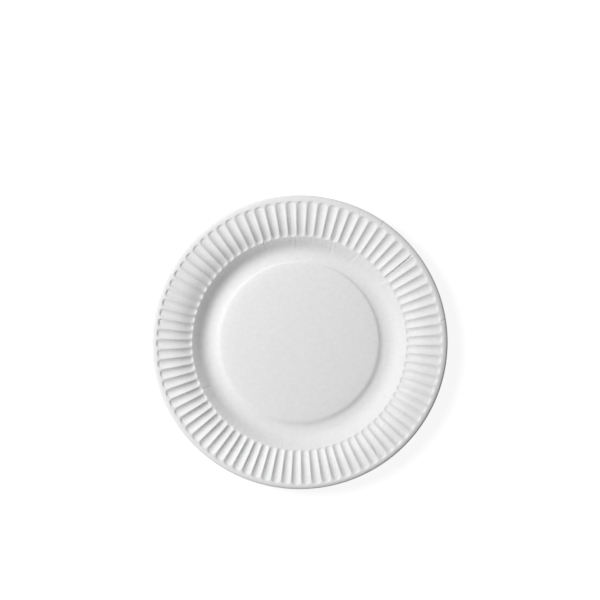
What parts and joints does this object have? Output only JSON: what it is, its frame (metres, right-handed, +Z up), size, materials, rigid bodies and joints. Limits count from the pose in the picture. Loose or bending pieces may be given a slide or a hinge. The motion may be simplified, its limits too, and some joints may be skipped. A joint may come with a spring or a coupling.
{
  "type": "paper plate",
  "caption": "Round white paper plate: one pressed sheet of board with a flat floor, a foot ring, a curved wall, a fluted rim and a plain curled border.",
  "frame": {"origin": "centre of the plate, on the surface that it stands on", "axes": "+Z up, along the plate's axis; the plate is round, so X and Y are free"},
  "size_m": [0.18, 0.18, 0.015],
  "materials": {
    "board": "uncoated white board, matt, with a fine fibre grain"
  },
  "bodies": {
    "root": {"plate": "board"}
  },
  "joints": []
}
